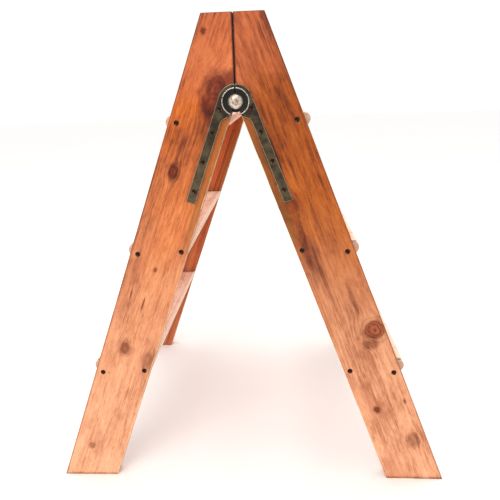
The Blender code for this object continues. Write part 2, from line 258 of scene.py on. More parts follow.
def dull_flats(obj, radius, height):
    """Takes the wear off whatever is near the hinge axis and no further out than a height."""
    wear = obj.data.attributes["wear"].data
    for vert in obj.data.vertices:
        if math.hypot(vert.co.x, vert.co.z) < radius and abs(vert.co.y) < height:
            wear[vert.index].value = 0.0


def finish_piece(obj, node, material, origin):
    """Gives a piece made about the hinge axis an origin of its own, and lets it stand for its CAD node."""
    if "wear" not in obj.data.attributes:
        mark_wear(obj)
    obj.data.transform(Matrix.Translation(PIN - origin))
    obj.location = origin
    obj.data.materials.clear()
    obj.data.materials.append(material)
    obj.data.shade_smooth()
    obj.data.set_sharp_from_angle(angle=SMOOTH_ANGLE)
    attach(obj, frame["nodes"][node]["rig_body"])
    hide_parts(node)


# Materials


class Shader:
    """Adds nodes to one tree. A value is a number, a colour or another node's output."""

    def __init__(self, tree):
        self.tree = tree

    def feed(self, socket, value):
        if isinstance(value, bpy.types.NodeSocket):
            self.tree.links.new(value, socket)
        else:
            socket.default_value = value

    def node(self, kind, values=None, **settings):
        node = self.tree.nodes.new("ShaderNode" + kind)
        for key, value in settings.items():
            setattr(node, key, value)
        for key, value in (values or {}).items():
            self.feed(node.inputs[key], value)
        return node

    def math(self, operation, *values, clamp=False):
        values = dict(enumerate(values))
        return self.node("Math", values, operation=operation, use_clamp=clamp).outputs[0]

    def times(self, value, factor):
        return self.math("MULTIPLY", value, factor)

    def plus(self, base, value, weight, clamp=False):
        """A base with a weighted value on top."""
        return self.math("MULTIPLY_ADD", value, weight, base, clamp=clamp)

    def vary(self, base, pattern, weight):
        """A base moved up and down by a pattern that lies about 0.5."""
        return self.plus(base, self.math("SUBTRACT", pattern, 0.5), weight)

    def length(self, x, y):
        return self.math("SQRT", self.math("ADD", self.times(x, x), self.times(y, y)))

    def vector(self, operation, *values):
        values = dict(enumerate(values))
        return self.node("VectorMath", values, operation=operation).outputs[0]

    def along_grain(self, vector, scale):
        """Coordinates scaled along Z only, which draws patterns out along the grain or packs them in."""
        return self.vector("MULTIPLY", vector, (1.0, 1.0, scale))

    def ramp(self, value, low, high, to_low=0.0, to_high=1.0):
        """A smooth step from one value to another."""
        values = {"Value": value, "From Min": low, "From Max": high, "To Min": to_low, "To Max": to_high}
        return self.node("MapRange", values, interpolation_type="SMOOTHSTEP").outputs[0]

    def noise(self, vector, scale, detail=3.0, roughness=0.5):
        values = {"Vector": vector, "Scale": scale, "Detail": detail, "Roughness": roughness}
        return self.node("TexNoise", values).outputs[0]

    def spots(self, vector, scale, size):
        """Sparse round specks."""
        distance = self.node("TexVoronoi", {"Vector": vector, "Scale": scale}).outputs[0]
        return self.ramp(distance, size, size * 0.6)

    def mix(self, share, one, other, blend="MIX"):
        node = self.node("Mix", data_type="RGBA", blend_type=blend)
        for index, value in ((0, share), (6, one), (7, other)):
            self.feed(node.inputs[index], value)
        return node.outputs[2]

    def tint(self, share, tone, glaze):
        return self.mix(share, tone, glaze, "MULTIPLY")

    def shades(self, value, stops):
        """Colours in order along a value."""
        node = self.node("ValToRGB", {0: value})
        elements = node.color_ramp.elements
        while len(elements) < len(stops):
            elements.new(0.5)
        for element, (position, tint) in zip(elements, stops):
            element.position = position
            element.color = tint
        return node.outputs[0]

    def rotated(self, vector, axis, angle):
        values = {"Vector": vector, "Angle": angle}
        return self.node("VectorRotate", values, rotation_type=axis).outputs[0]

    def join(self, x, y, z):
        return self.node("CombineXYZ", {0: x, 1: y, 2: z}).outputs[0]

    def split(self, vector):
        return self.node("SeparateXYZ", {0: vector}).outputs

    def wear(self):
        return self.node("Attribute", attribute_name="wear").outputs["Fac"]

    def surface(self, values):
        for key, value in values.items():
            self.feed(self.tree.nodes["Principled BSDF"].inputs[key], value)

    def bump(self, height, distance, strength, normal=None):
        values = {"Height": height, "Distance": distance, "Strength": strength}
        if normal:
            values["Normal"] = normal
        return self.node("Bump", values).outputs[0]


def colour(red, green, blue):
    return (red, green, blue, 1.0)


def new_material(name):
    material = bpy.data.materials.new(name)
    material.use_nodes = True
    return Shader(material.node_tree), material


def make_knot_group():
    """A branch knot: it bends the grain round itself, and adds to the masks of cores, rings and shade."""
    tree = bpy.data.node_groups.new("knot", "ShaderNodeTree")
    for name in ("Grain", "Core", "Rings", "Shade"):
        kind = "NodeSocketVector" if name == "Grain" else "NodeSocketFloat"
        tree.interface.new_socket(name, in_out="INPUT", socket_type=kind)
        tree.interface.new_socket(name, in_out="OUTPUT", socket_type=kind)
    for name in ("Across", "Along", "Radius", "Stretch", "Depth", "Darkness"):
        tree.interface.new_socket(name, in_out="INPUT", socket_type="NodeSocketFloat")
    s = Shader(tree)
    given = tree.nodes.new("NodeGroupInput").outputs
    made = tree.nodes.new("NodeGroupOutput").inputs
    x, y, z = s.split(given["Grain"])
    dx = s.math("SUBTRACT", x, given["Across"])
    dz = s.math("DIVIDE", s.math("SUBTRACT", z, given["Along"]), given["Stretch"])
    reach = s.math("DIVIDE", s.length(dx, dz), given["Radius"])
    size = s.math("DIVIDE", 0.9, given["Radius"])
    reach = s.vary(reach, s.noise(given["Grain"], size, 3.0, 0.6), 1.1)
    core = s.times(s.ramp(reach, 1.06, 0.9), given["Depth"])
    shade = s.times(s.ramp(reach, 2.2, 0.8), given["Darkness"])
    waves = s.math("SINE", s.times(reach, 13.0))
    rings = s.times(s.ramp(waves, 0.0, 1.0), s.ramp(reach, 2.0, 1.1))
    rim = s.times(s.ramp(reach, 1.22, 1.06), s.ramp(reach, 0.78, 0.96))
    rings = s.times(s.math("MAXIMUM", rings, rim), given["Depth"])
    bend = s.times(dx, s.ramp(reach, 3.2, 0.3, 0.0, 0.8))
    s.feed(made["Grain"], s.join(s.math("SUBTRACT", x, bend), y, z))
    s.feed(made["Core"], s.math("MAXIMUM", given["Core"], core))
    s.feed(made["Rings"], s.math("MAXIMUM", given["Rings"], rings))
    s.feed(made["Shade"], s.math("MAXIMUM", given["Shade"], shade))
    return tree


KNOT_GROUP = make_knot_group()


# A knot or a stain: its place, its size, and how dark its core and its surroundings are
Knot = namedtuple("Knot", ("Across", "Along", "Radius", "Depth", "Darkness", "Stretch"))


def add_knots(s, grain, knots):
    core, rings, shade = 0.0, 0.0, 0.0
    for knot in knots:
        group = s.node("Group", node_tree=KNOT_GROUP)
        for key, value in knot._asdict().items():
            s.feed(group.inputs[key], value)
        for key, value in (("Grain", grain), ("Core", core), ("Rings", rings), ("Shade", shade)):
            s.feed(group.inputs[key], value)
        grain, core, rings, shade = (group.outputs[key] for key in ("Grain", "Core", "Rings", "Shade"))
    return grain, core, rings, shade


def tones(deep, middle, pale):
    """A wood's colours, from its darkest streaks to its palest."""
    return ((0.16, colour(*deep)), (0.5, colour(*middle)), (0.86, colour(*pale)))


CROWN = tones((0.17, 0.034, 0.011), (0.45, 0.105, 0.034), (0.62, 0.18, 0.07))
FADED_RED = colour(0.56, 0.205, 0.105)
PORE = colour(0.44, 0.2, 0.1)
KNOT_SHADE = colour(0.26, 0.12, 0.06)
KNOT_RING = colour(0.36, 0.15, 0.08)
KNOT_HEART = colour(0.6, 0.3, 0.18)
HEART_RING = colour(0.2, 0.08, 0.04)
SAWN_LATE_WOOD = colour(0.45, 0.32, 0.26)
RIM = colour(0.48, 0.27, 0.17)
SCUFF = colour(0.42, 0.22, 0.14)
# Painted shade on the rounded edges of a board's outer part
OUTER_EDGE_SHADE = colour(0.1, 0.025, 0.009)
# Painted shade on a side board's inner face, deep red like light bounced between the boards
INSIDE_SHADE_DEEP = colour(0.17, 0.02, 0.003)
INSIDE_SHADE_PALE = colour(0.52, 0.085, 0.012)
STRAP_STAIN = colour(0.21, 0.08, 0.014)
# Pale bare wood on worn edges, which is also a painted highlight along the arrises
BARE_AND_HIGHLIT_BOARD = colour(0.93, 0.66, 0.3)
BARE_AND_HIGHLIT_TREAD = colour(0.9, 0.7, 0.54)
# Painted shade in the seam between the mitred tops
SEAM_SHADE = colour(0.05, 0.014, 0.01)
# Painted shadow line on a tread top where it meets the side boards
CORNER_SHADOW_LINE = colour(0.1, 0.03, 0.015)
SPECK = colour(0.06, 0.02, 0.012)

RING_WIDTH = 0.0036
PITH_DRIFT = 0.03  # per metre, through the thickness, which draws the rings out into peaks
BOARD_EDGE = SETBACK + BOARD_WIDTH
TREAD_END = HALF_DEPTH - BOARD_THICKNESS
FLOOR = -PIN.z  # as seen from the hinge axis


def late_wood(s, grain, shifted, seed, pith):
    """The dark late wood of the growth rings, which wander a little round the pith."""
    sway = s.noise(s.along_grain(shifted, 0.16), 12.0, 3.0)
    x, y, z = s.split(grain)
    sideways = s.vary(s.math("SUBTRACT", x, pith[0]), sway, 0.007)
    inwards = s.plus(s.math("SUBTRACT", y, pith[1]), z, PITH_DRIFT)
    radius = s.length(sideways, inwards)
    years = s.noise(s.join(radius, seed, 0.0), 160.0, 2.0)
    growth = s.math("FRACT", s.plus(s.math("DIVIDE", radius, RING_WIDTH), years, 1.6))
    return s.times(s.ramp(growth, 0.3, 0.86), s.ramp(growth, 1.0, 0.92))


class Timber:
    """A piece of wood's coordinates, and the patterns that its colour, gloss and relief share."""

    def __init__(self, s, seed, turn, knots, pith):
        place = s.node("TexCoord").outputs
        self.level = s.split(place["Object"])
        self.upward = s.split(place["Normal"])[2]
        point = s.rotated(place["Object"], *turn)
        self.facing = s.split(s.rotated(place["Normal"], *turn))
        self.across, _, self.along = s.split(point)
        self.shifted = s.vector("ADD", point, (seed * 1.7, seed * 0.9, seed * 2.3))
        grain, self.core, self.rings, self.shade = add_knots(s, point, knots)
        self.late = late_wood(s, grain, self.shifted, seed, pith)

        streaked = s.along_grain(s.vector("ADD", grain, (seed, seed, seed)), 0.014)
        self.fibres = s.noise(s.along_grain(streaked, 2.4), 900.0, 4.0, 0.75)
        self.streaks = s.noise(streaked, 200.0, 5.0, 0.65)
        self.cloud = s.noise(s.along_grain(self.shifted, 0.5), 10.0, 3.0)
        self.mottle = s.noise(s.along_grain(self.shifted, 0.3), 150.0, 4.0, 0.7)
        self.blotches = s.noise(s.along_grain(self.shifted, 0.42), 34.0, 5.0, 0.62)
        dashes = s.noise(s.along_grain(s.vector("ADD", grain, (seed, 0.0, seed)), 0.1), 760.0, 3.0, 0.6)
        solid = s.ramp(self.cloud, 0.4, 0.62, 0.67, 0.58)
        self.pores = s.math("MULTIPLY", s.math("SUBTRACT", dashes, solid), 16.0, clamp=True)
        self.specks = s.spots(self.shifted, 30.0, 0.03)

        self.end_grain = s.ramp(s.math("ABSOLUTE", self.facing[2]), 0.6, 0.85)
        self.edge = s.wear()
        broken = s.ramp(s.noise(self.shifted, 60.0, 5.0, 0.65), 0.32, 0.46)
        # Worn edges, whose pale colour is also a painted highlight along them
        self.rubbed = s.times(s.ramp(self.edge, 0.1, 0.9), broken)


def stained(s, timber, finish, fade):
    """The stain, which is redder at a board's top and paler at its foot, and dark in pores and knots."""
    shading = 0.53
    patterns = ((timber.streaks, 0.75), (timber.blotches, -0.8), (timber.mottle, 0.6),
                (timber.fibres, 0.95), (timber.cloud, 1.2))
    for pattern, weight in patterns:
        shading = s.vary(shading, pattern, weight)
    shading = s.plus(shading, timber.late, -0.07)
    tone = s.shades(shading, finish[0])
    if fade:
        height = s.vary(timber.along, timber.cloud, 0.35)
        tone = s.mix(s.ramp(height, -0.04, 0.05, 0.0, 0.8), tone, s.shades(shading, CROWN))
        red = s.ramp(s.noise(s.along_grain(timber.shifted, 0.4), 21.0, 5.0, 0.7), 0.5, 0.66)
        faded = s.mix(s.times(red, 0.6), s.shades(shading, finish[1]), FADED_RED)
        tone = s.mix(s.ramp(height, *fade), tone, faded)
    tone = s.tint(s.times(timber.pores, 0.5), tone, PORE)
    dark = s.times(timber.shade, s.ramp(timber.blotches, 0.3, 0.62, 0.55, 1.0))
    tone = s.tint(dark, tone, KNOT_SHADE)
    tone = s.tint(s.times(timber.rings, 0.5), tone, KNOT_RING)
    heart = s.mix(s.times(timber.rings, 0.7), KNOT_HEART, HEART_RING)
    return s.mix(timber.core, tone, s.tint(1.0, tone, heart))


def sawn_ends(s, timber, tone, cut):
    sawn = s.mix(s.times(timber.late, 0.5), cut, s.tint(1.0, cut, SAWN_LATE_WOOD))
    return s.mix(s.times(timber.end_grain, 0.85), tone, sawn)


def board_marks(s, timber, tone, outward):
    """A side board's dark rim, scuffed foot, pale worn edges with a painted highlight, and painted shade on
    its inner face, along its outer edges and along the seam.
    """
    off_pin = s.math("ABSOLUTE", timber.across)
    rim = s.ramp(off_pin, BOARD_EDGE - 0.004, BOARD_EDGE - 0.0008)
    tone = s.tint(s.times(rim, 0.75), tone, RIM)
    scuffed = s.ramp(timber.level[2], FLOOR + 0.0075, FLOOR + 0.001)
    scuffed = s.times(scuffed, s.ramp(timber.blotches, 0.35, 0.55, 0.45, 0.95))
    tone = s.tint(scuffed, tone, SCUFF)
    outer = s.ramp(off_pin, 0.03, 0.07)
    # Painted shade: a dark line along the rounded edges away from the seam
    tone = s.mix(s.times(timber.edge, s.times(outer, 0.85)), tone, OUTER_EDGE_SHADE)
    # Painted shade: the inner face is darkened towards red, standing in for its shadow and bounce light
    inside = s.ramp(s.times(timber.facing[1], -outward), 0.5, 0.9)
    inside_shade = s.mix(s.ramp(timber.streaks, 0.35, 0.65), INSIDE_SHADE_DEEP, INSIDE_SHADE_PALE)
    tone = s.mix(s.times(inside, 0.75), tone, inside_shade)
    by_strap = s.times(s.ramp(off_pin, 0.017, 0.01), s.ramp(timber.along, -0.34, -0.22))
    tone = s.mix(s.times(by_strap, 0.48), tone, STRAP_STAIN)

    mitre = s.ramp(timber.along, -0.02, 0.0)
    timber.rubbed = s.times(timber.rubbed, s.ramp(outer, 1.0, 0.0, 0.12, 1.0))
    timber.rubbed = s.times(timber.rubbed, s.ramp(mitre, 1.0, 0.0))
    # Pale worn edges, which are also a painted highlight along the inner arrises
    tone = s.mix(s.times(timber.rubbed, 0.92), tone, BARE_AND_HIGHLIT_BOARD)
    # Painted shade along the seam where the mitred tops meet
    seam = s.times(s.ramp(s.math("ABSOLUTE", timber.level[0]), 0.0042, 0.0014), mitre)
    return s.mix(s.times(seam, 0.88), tone, SEAM_SHADE)


def tread_marks(s, timber, tone):
    """A tread's pale worn edges with a painted highlight, and a painted shadow line on its top beside the
    side boards.
    """
    # Pale worn edges, which are also a painted highlight along them
    tone = s.mix(s.times(timber.rubbed, 0.92), tone, BARE_AND_HIGHLIT_TREAD)
    # Painted shadow: a dark line on the tread top next to the side boards
    corner = s.ramp(s.math("ABSOLUTE", timber.along), TREAD_END - 0.014, TREAD_END - 0.004)
    corner = s.times(corner, s.ramp(timber.upward, 0.9, 0.98))
    return s.mix(s.times(corner, 0.85), tone, CORNER_SHADOW_LINE)


def wood(name, seed, turn, finish, knots, pith, cut, fade=None, outward=0):
    """Stained and waxed pine. A side board says how it fades, and which way its outside faces."""
    s, material = new_material(name)
    timber = Timber(s, seed, turn, knots, pith)
    tone = sawn_ends(s, timber, stained(s, timber, finish, fade), cut)
    tone = board_marks(s, timber, tone, outward) if outward else tread_marks(s, timber, tone)

    dull = s.plus(0.27, s.noise(timber.shifted, 42.0, 4.0, 0.6), 0.34)
    dull = s.plus(dull, timber.fibres, 0.12)
    dull = s.plus(dull, timber.rubbed, 0.3)
    relief = s.times(timber.fibres, 0.55)
    marks = ((timber.late, 0.35), (timber.pores, -0.5), (timber.specks, -1.2), (timber.core, 0.4))
    for pattern, weight in marks:
        relief = s.plus(relief, pattern, weight)
    uneven = s.bump(s.noise(timber.shifted, 30.0, 3.0), 0.001, 0.5)
    s.surface({
        "Base Color": s.mix(s.times(timber.specks, 0.8), tone, SPECK),
        "Roughness": s.plus(dull, timber.end_grain, 0.2, clamp=True),
        "Specular IOR Level": 0.2,
        "Coat Weight": 0.04,
        "Coat Roughness": 0.3,
        "Normal": s.bump(relief, 0.00022, 0.8, uneven),
    })
    return material


DISH_RADIUS = 0.0228


def iron():
    """Cast iron, once blacked: olive-brown patches, pits, and bare metal where wear reaches it."""
    s, material = new_material("black_iron_look")
    point = s.node("TexCoord").outputs["Object"]
    x, y, z = s.split(point)
    from_pin = s.length(x, z)
    patches = s.noise(point, 60.0, 5.0, 0.62)
    grit = s.noise(point, 700.0, 4.0, 0.7)
    tone = s.shades(patches, ((0.3, colour(0.024, 0.017, 0.009)), (0.5, colour(0.076, 0.054, 0.025)),
                              (0.7, colour(0.13, 0.098, 0.05))))
    rust = s.ramp(s.noise(point, 120.0, 4.0, 0.7), 0.57, 0.7, 0.0, 0.6)
    tone = s.mix(rust, tone, colour(0.11, 0.042, 0.018))
    tone = s.mix(s.ramp(grit, 0.45, 0.65, 0.0, 0.5), tone, colour(0.012, 0.01, 0.008))
    blacked = s.times(s.ramp(from_pin, 0.135, 0.03), s.ramp(patches, 0.64, 0.4, 0.45, 0.95))
    tone = s.tint(blacked, tone, colour(0.42, 0.38, 0.38))
    # Near-black inside the eye's sunk dish, where no bare metal shows
    dark_in_dish = s.ramp(from_pin, DISH_RADIUS + 0.0004, DISH_RADIUS - 0.0012, 0.0, 0.9)
    tone = s.mix(dark_in_dish, tone, colour(0.008, 0.007, 0.006))
    broken = s.ramp(s.noise(point, 180.0, 4.0, 0.65), 0.3, 0.46)
    bare = s.times(s.ramp(s.wear(), 0.05, 0.5), broken)
    bare = s.times(bare, s.ramp(dark_in_dish, 0.5, 0.1))
    crest = s.ramp(s.math("ABSOLUTE", y), RIB_CREST - 0.0008, RIB_CREST - 0.0002)
    polished = s.times(bare, s.ramp(crest, 0.0, 1.0, 0.5, 0.92))
    pits = s.plus(s.times(grit, 0.6), s.spots(point, 420.0, 0.25), -0.5)
    lumpy = s.bump(patches, 0.0009, 0.6)
    s.surface({
        "Base Color": s.mix(polished, tone, colour(0.64, 0.6, 0.5)),
        "Metallic": s.plus(0.25, bare, 0.6),
        "Roughness": s.plus(s.plus(0.38, patches, 0.3), bare, -0.22, clamp=True),
        "Specular IOR Level": 0.22,
        "Normal": s.bump(pits, 0.00022, 0.7, lumpy),
    })
    return material


def bright_metal(name, tint, stain, rough):
    """Plated steel, gone brown in places, with fine scratches."""
    s, material = new_material(name)
    point = s.node("TexCoord").outputs["Object"]
    mottle = s.noise(point, 260.0, 4.0, 0.6)
    x, _, z = s.split(point)
    handled = s.plus(mottle, s.ramp(s.length(x, z), 0.01, 0.002), 0.18)
    tone = s.mix(s.ramp(handled, 0.5, 0.68, 0.0, 0.9), tint, stain)
    rust_spots = s.spots(point, 520.0, 0.22)
    scratches = s.noise(s.along_grain(point, 0.1), 1900.0, 2.0)
    s.surface({
        "Base Color": s.mix(s.times(rust_spots, 0.6), tone, colour(0.1, 0.05, 0.03)),
        "Metallic": 1.0,
        "Roughness": s.plus(s.plus(rough, mottle, 0.25), scratches, 0.1, clamp=True),
        "Normal": s.bump(s.math("ADD", mottle, scratches), 0.0001, 0.5),
    })
    return material


def dark_steel():
    """Blackened screw heads, mottled dark brown, with a little bare metal at the rims."""
    s, material = new_material("dark_screw_look")
    point = s.node("TexCoord").outputs["Object"]
    mottle = s.noise(point, 480.0, 4.0, 0.65)
    tone = s.mix(s.ramp(mottle, 0.42, 0.66), colour(0.01, 0.004, 0.002), colour(0.042, 0.014, 0.006))
    bare = s.times(s.wear(), s.ramp(s.noise(point, 300.0, 3.0), 0.48, 0.6))
    s.surface({
        "Base Color": s.mix(s.times(bare, 0.5), tone, colour(0.2, 0.15, 0.11)),
        "Metallic": 0.1,
        "Roughness": s.plus(0.34, mottle, 0.35, clamp=True),
        "Specular IOR Level": 0.05,
        "Normal": s.bump(mottle, 0.00025, 0.6),
    })
    return material


def pale_floor():
    s, material = new_material("pale_floor")
    point = s.node("TexCoord").outputs["Object"]
    cloud = s.noise(point, 3.0, 4.0)
    s.surface({
        "Base Color": s.mix(cloud, colour(0.915, 0.912, 0.9), colour(0.935, 0.932, 0.925)),
        "Roughness": 0.75,
        "Normal": s.bump(s.noise(point, 160.0, 3.0), 0.0004, 0.3),
    })
    return material


# Wood pieces


def rounded_box(x0, x1, y0, y1, radius, counts):
    """A rectangle with round corners. `counts` are the steps along X, along Y and round a corner."""
    nx, ny, nc = counts
    points = []
    corners = (((x1 - radius, y0 + radius), -90), ((x1 - radius, y1 - radius), 0),
               ((x0 + radius, y1 - radius), 90), ((x0 + radius, y0 + radius), 180))
    for number, (centre, start) in enumerate(corners):
        turn = arc(centre, radius, start, start + 90, nc)
        steps = nx if number % 2 else ny
        following, next_start = corners[(number + 1) % 4]
        target = arc(following, radius, next_start, next_start, 1)[0]
        points += turn
        for i in range(1, steps):
            share = i / steps
            points.append((turn[-1][0] + (target[0] - turn[-1][0]) * share,
                           turn[-1][1] + (target[1] - turn[-1][1]) * share))
    return points


def tapered_stations(low, high, radius, step, steps):
    """(place, inset) along a piece whose two ends are rounded over."""
    turn = [math.radians(90 * i / steps) for i in range(steps)]
    ends = [(radius * (1 - math.cos(a)), radius * (1 - math.sin(a))) for a in turn]
    count = round((high - low - 2 * radius) / step)
    middle = [(place, 0.0) for place in spread(low + radius, high - radius, count)]
    lower = [(low + place, inset) for place, inset in ends]
    upper = [(high - place, inset) for place, inset in reversed(ends)]
    return lower + middle + upper


BOARD_STEP = 0.0065
BOARD_COUNTS = (16, 5, 4)
BOARD_ARRIS = 0.0014
ARRIS_SWING = 0.45  # the share by which it comes and goes,
ARRIS_WAVES = 38  # and how often, per metre
MITRE_ARRIS = 0.0006  # more, along the mitred tops,
MITRE_EASE = 0.02  # reached this far above the hinge axis
END_ARRIS = 0.0012
END_STEPS = 4
PLANING = 0.00018  # how deep the waves in a board's faces are,
PLANING_WAVES = (24, 60, 9)  # and how many there are per metre
DENT = 0.0007
DENT_WAVES = 3.1
DENT_RARITY = 0.52
BOARD_MIDDLE = HALF_DEPTH - BOARD_THICKNESS / 2


def board_hollow(x, y, height, seed):
    """How far a board's face lies inside its true plane, from waves and the odd dent."""
    across, through, along = PLANING_WAVES
    place = Vector((x * across, y * through, height * along)) + seed
    dent = max(0.0, noise.noise(place * DENT_WAVES) - DENT_RARITY)
    return PLANING * (1 + noise.noise(place)) + DENT * dent


def board_ring(inner, outer, near, far, inset, height, end, seed):
    """A level slice of a board, as (x, y) points."""
    arris = BOARD_ARRIS * (1 + ARRIS_SWING * noise.noise(seed + Vector((0.0, 0.0, height * ARRIS_WAVES))))
    arris += MITRE_ARRIS * min(1.0, max(0.0, (height - PIN.z) / MITRE_EASE))
    middle = (inner + outer) / 2
    ring = []
    for x, y in rounded_box(inner, outer, near + inset, far - inset, arris, BOARD_COUNTS):
        hollow = board_hollow(x, y, height, seed)
        if min(abs(x - inner), abs(x - outer)) < arris * 0.5:
            ring.append((x + (math.copysign(hollow, middle - x) if inset < END_ARRIS else 0.0), y))
        else:
            ring.append((x, y + math.copysign(hollow, -end * (abs(y) - BOARD_MIDDLE))))
    return ring


def board(end_name, side_name):
    """A side board, as level slices from the floor to its mitred top."""
    side, end = SIDES[side_name], ENDS[end_name]
    seed = Vector((side * 3.1, end * 5.7, 0.0))
    near, far = sorted((end * (HALF_DEPTH - BOARD_THICKNESS), end * HALF_DEPTH))
    rings = []
    for height, inset in tapered_stations(0.0, HEIGHT, END_ARRIS, BOARD_STEP, END_STEPS):
        inner = max(SEAM, edge_x(SETBACK, height)) + inset
        outer = edge_x(SETBACK + BOARD_WIDTH, height) - inset
        ring = board_ring(inner, outer, near, far, inset, height, end, seed)
        rings.append([(side * x, y, height - PIN.z) for x, y in ring])
    obj = mark_wear(loft(f"side_board_{end_name}_{side_name}", rings))
    cutters = [pocket_cutter(side, end), *strap_hole_cutters(side, end)]
    cutters += [hole_cutter("tread", *place, end) for _, _, place in tread_screw_places(side)]
    combine(obj, cutters, "DIFFERENCE")
    material = BOARD_WOOD[end_name, side_name]
    origin = Vector((0.0, end * BOARD_MIDDLE, PIN.z))
    finish_piece(obj, f"stile_{end_name}_{side_name}", material, origin)


POCKET_ROOM = 0.0005  # behind the inner knuckle


def pocket_cutter(side, end):
    """The round pocket that the two knuckles turn in, and the bolt's hole through the board."""
    floor = HALF_DEPTH - 2 * KNUCKLE_THICKNESS - 3 * GAP - POCKET_ROOM
    outside, through = HALF_DEPTH + CUT_PAST, HALF_DEPTH - BOARD_THICKNESS - CUT_PAST
    profile = [(0.0, outside), (POCKET_RADIUS, outside), (POCKET_RADIUS, floor), (PIN_HOLE, floor),
               (PIN_HOLE, through), (0.0, through)]
    return turned("pocket", profile, side, end, steps=72)


TREAD_STEP = 0.009
TREAD_ARRIS = 0.0009
TREAD_END_ARRIS = 0.0006
TREAD_END_STEPS = 2
TREAD_FACE = 0.008  # about how far apart a tread's outline has points
NOSE_SHARE = 0.93  # of the nose's curve, short of its arrises
NOSE_EASE = 0.0012
NOSE_STEPS = 14
DISHING = 0.0008  # worn off the middle of a tread's front,
DISHING_SPREAD = 0.13  # and how far it reaches to each side
UNEVENNESS = 0.00015
UNEVEN_WAVES = (25, 7, 40)


def tread_outline(low, high):
    """A tread's section as (x, z) points: a shallow round nose, and a back that slopes like the boards."""
    back = SETBACK + GAP
    half = TREAD_THICKNESS / 2
    bulge = (half * half + NOSE_DEPTH * NOSE_DEPTH) / (2 * NOSE_DEPTH)
    sweep = math.degrees(math.asin(half / bulge)) * NOSE_SHARE
    nose = arc((high.x - bulge, (low.z + high.z) / 2), bulge, sweep, -sweep, NOSE_STEPS)
    corners = [
        (edge_x(back, high.z) + TREAD_ARRIS, high.z),
        (nose[0][0] - NOSE_EASE, high.z),
        *nose,
        (nose[-1][0] - NOSE_EASE, low.z),
        (edge_x(back, low.z) + TREAD_ARRIS, low.z),
        (edge_x(back, low.z + TREAD_ARRIS), low.z + TREAD_ARRIS),
        (edge_x(back, high.z - TREAD_ARRIS), high.z - TREAD_ARRIS),
    ]
    outline = []
    for (x0, z0), (x1, z1) in zip(corners, corners[1:] + corners[:1]):
        steps = max(1, round(math.hypot(x1 - x0, z1 - z0) / TREAD_FACE))
        outline += [(x0 + (x1 - x0) * i / steps, z0 + (z1 - z0) * i / steps) for i in range(steps)]
    return outline


def tread(side_name, number):
    """A level tread, with a top that is worn a little hollow towards its front."""
    side = SIDES[side_name]
    low, high = TREAD_BOXES[number]
    seed = Vector((side * 2.3, number * 4.1, 7.7))
    outline = tread_outline(low, high)
    centre_x, middle = (low.x + high.x) / 2, (low.z + high.z) / 2
    across, through, along = UNEVEN_WAVES
    rings = []
    for y, inset in tapered_stations(low.y, high.y, TREAD_END_ARRIS, TREAD_STEP, TREAD_END_STEPS):
        ring = []
        for x, z in outline:
            front = max(0.0, (x - centre_x) / (high.x - centre_x))
            worn = DISHING * math.exp(-((y / DISHING_SPREAD) ** 2)) * front ** 2 if z > middle else 0.0
            worn += UNEVENNESS * (1 + noise.noise(seed + Vector((x * across, y * through, z * along))))
            x += inset * (1 if x < centre_x else -1) - (worn if x > centre_x else -worn) * 0.5
            z += inset * (1 if z < middle else -1) - (worn if z > middle else -worn * 0.5)
            ring.append((side * x, y, z - PIN.z))
        rings.append(ring)
    obj = mark_wear(loft(f"step_{side_name}_{TREAD_NAMES[number]}", rings))
    places = [place for tread_number, _, place in tread_screw_places(side) if tread_number == number]
    cutters = [hole_cutter("tread", *place, end) for end in ENDS.values() for place in places]
    combine(obj, cutters, "DIFFERENCE")
    origin = Vector((side * centre_x, 0.0, middle))
    material = TREAD_WOOD[side_name, number]
    finish_piece(obj, f"tread_{side_name}_{TREAD_NAMES[number]}", material, origin)


# Screws


# A head's radius, the shank's radius, the length and the cone's depth
SCREW_SIZES = {"strap": (0.0042, 0.002, 0.0215, 0.0024), "tread": (0.0049, 0.0024, 0.058, 0.0028)}
SCREW_HEIGHTS = {"strap": LEAF_THICKNESS - 0.0004, "tread": -0.0002}  # from a board's face to a head's
SCREW_RIM = ((0.0003, 0.0), (0.0001, 0.0001), (0.0, 0.0003))  # (inwards, down) round a head's rim
SCREW_TIP = 0.005
SCREW_POINT = 0.0008
SLOT_WIDTH = 0.0011
SLOT_DEPTH = 0.001
SLOT_PAST = 0.001
HOLE_ABOVE = 0.004


def screw_profile(kind, grow=0.0, above=0.0):
    """A countersunk screw as (radius, height) below its head's face, or the hole for it."""
    head, shank, length, cone = SCREW_SIZES[kind]
    slope = (head - shank) / cone
    profile = [(0.0, above), (head + grow + slope * above, above)]
    if not above:
        profile = [(0.0, 0.0)] + [(head - inwards, -down) for inwards, down in SCREW_RIM]
    profile += [(shank + grow, -cone), (shank + grow, SCREW_TIP - length)]
    profile += [(SCREW_POINT + grow, -length - grow), (0.0, -length - grow)]
    return profile


def at_height(profile, kind):
    return [(radius, HALF_DEPTH + SCREW_HEIGHTS[kind] + height) for radius, height in profile]


def move(obj, x, z):
    obj.data.transform(Matrix.Translation((x, 0.0, z)))
    return obj


def hole_cutter(kind, x, z, end):
    profile = at_height(screw_profile(kind, GAP, HOLE_ABOVE), kind)
    return move(turned("hole", profile, 1, end, steps=32), x, z)


def screw(name, node, kind, x, z, end, turn):
    """A slotted countersunk screw, left at whatever angle it was driven to."""
    obj = mark_wear(turned(name, at_height(screw_profile(kind), kind), 1, end, steps=40))
    reach = SCREW_SIZES[kind][0] + SLOT_PAST
    level = HALF_DEPTH + SCREW_HEIGHTS[kind]
    half = SLOT_WIDTH / 2
    slot = plate("slot", [(-reach, -half), (reach, -half), (reach, half), (-reach, half)],
                 level - SLOT_DEPTH, level + CUT_PAST, end)
    slot.data.transform(Matrix.Rotation(turn, 4, "Y"))
    combine(obj, [slot], "DIFFERENCE")
    move(obj, x, z)
    origin = Vector((x, end * level, PIN.z + z))
    finish_piece(obj, node, SCREW_LOOK, origin)


